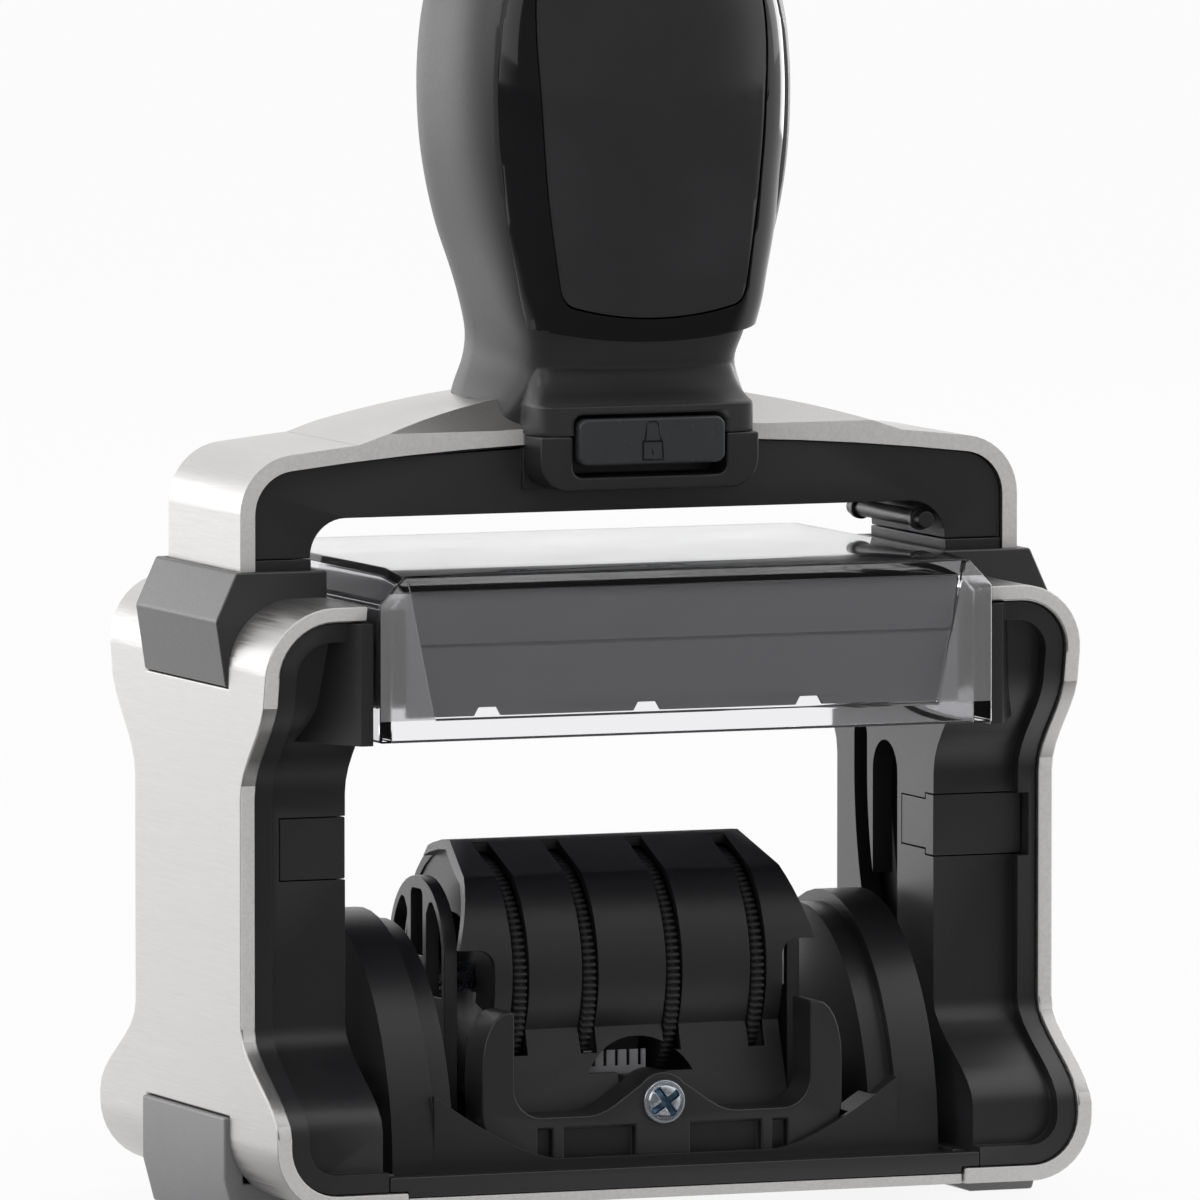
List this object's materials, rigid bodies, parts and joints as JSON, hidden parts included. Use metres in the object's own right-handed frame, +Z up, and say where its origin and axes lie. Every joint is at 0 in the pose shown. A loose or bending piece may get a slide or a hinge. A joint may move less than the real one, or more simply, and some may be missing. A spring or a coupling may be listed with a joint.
{
  "type": "self-inking date stamp",
  "caption": "Self-inking date stamp: an arch with a bulb handle slides in a steel-sided base and turns a date unit with thumbwheels over between the desk and a pull-out ink pad.",
  "frame": {"origin": "on the table, under the middle of the two feet", "axes": "+X to the right as seen from the front, +Y to the back, +Z up along the press stroke"},
  "size_m": [0.0904, 0.0514, 0.1334],
  "materials": {
    "brushed_steel": "fine brushed sheet",
    "black_plastic": "fine satin moulding",
    "soft_grip": "soft-touch matt",
    "gloss_black": "high gloss",
    "black_card": "bare card",
    "grey_plastic": "satin moulding",
    "pad_grey": "satin moulding",
    "light_plastic": "satin moulding",
    "clear_plastic": "clear moulding with frosted ends",
    "inked_felt": "felt soaked with ink",
    "die_rubber": "matt rubber",
    "plate_plastic": "satin moulding",
    "dial_plastic": "satin moulding",
    "zinc_steel": "bright zinc plate"
  },
  "bodies": {
    "base": {"steel_side_left": "brushed_steel", "steel_side_right": "brushed_steel", "side_frame_left": "black_plastic", "side_frame_right": "black_plastic", "base_sill": "black_plastic", "collar_left": "grey_plastic", "collar_right": "grey_plastic", "foot_left": "grey_plastic", "foot_right": "grey_plastic", "track_gate_left": "black_plastic", "track_gate_right": "black_plastic", "guide_rods": "zinc_steel", "return_spring_left": "zinc_steel", "return_spring_right": "zinc_steel"},
    "arch": {"steel_strap": "brushed_steel", "arch_bar": "black_plastic", "guide_leg_left": "black_plastic", "guide_leg_right": "black_plastic", "arch_pin": "black_plastic", "lock_housing": "black_plastic", "handle_grip": "soft_grip", "handle_bezel": "gloss_black", "label_card": "black_card", "label_window": "gloss_black", "handle_screws": "zinc_steel", "lock_spring": "zinc_steel"},
    "lock": {"lock_button": "gloss_black"},
    "cassette": {"clear_cover": "clear_plastic", "insert_card": "pad_grey", "pad_tray": "pad_grey", "ink_felt": "inked_felt"},
    "print_unit": {"print_cradle": "black_plastic", "text_plate": "plate_plastic", "text_die": "die_rubber", "wheel_cover": "black_plastic", "front_plate": "black_plastic", "rear_plate": "black_plastic", "plate_screws": "zinc_steel", "wheel_axle": "zinc_steel", "band_bridge": "light_plastic", "end_shield_left": "black_plastic", "end_shield_right": "black_plastic", "date_band_1": "die_rubber", "date_band_2": "die_rubber", "date_band_3": "die_rubber", "date_band_4": "die_rubber", "index_comb": "light_plastic", "pivot_axles": "zinc_steel", "flip_pins": "zinc_steel"},
    "wheel_1": {"thumbwheel_1": "dial_plastic"},
    "wheel_2": {"thumbwheel_2": "dial_plastic"},
    "wheel_3": {"thumbwheel_3": "dial_plastic"},
    "wheel_4": {"thumbwheel_4": "dial_plastic"}
  },
  "joints": [
    {"name": "press_slide", "type": "slide", "parent": "base", "child": "arch", "axis": [0, 0, 1], "range_m": [0, 0.03], "deforming": ["return_spring_left", "return_spring_right"]},
    {"name": "flip", "type": "hinge", "parent": "arch", "child": "print_unit", "pos_m": [0, 0, 0.012], "axis": [1, 0, 0], "range_deg": [0, 180]},
    {"name": "lock_push", "type": "slide", "parent": "arch", "child": "lock", "axis": [0, 1, 0], "range_m": [0, 0.002], "stiffness_N_per_m": 400, "springref_m": -0.001, "deforming": ["lock_spring"]},
    {"name": "pad_slide", "type": "slide", "parent": "base", "child": "cassette", "axis": [0, -1, 0], "range_m": [0, 0.05]},
    {"name": "dial_1", "type": "hinge", "parent": "print_unit", "child": "wheel_1", "pos_m": [0, 0, 0.0228], "axis": [1, 0, 0], "continuous": true},
    {"name": "dial_2", "type": "hinge", "parent": "print_unit", "child": "wheel_2", "pos_m": [0, 0, 0.0228], "axis": [1, 0, 0], "continuous": true},
    {"name": "dial_3", "type": "hinge", "parent": "print_unit", "child": "wheel_3", "pos_m": [0, 0, 0.0228], "axis": [1, 0, 0], "continuous": true},
    {"name": "dial_4", "type": "hinge", "parent": "print_unit", "child": "wheel_4", "pos_m": [0, 0, 0.0228], "axis": [1, 0, 0], "continuous": true}
  ],
  "couplings": [
    {"joint": "flip", "follows": "press_slide", "rad_per_m": 104.7}
  ]
}
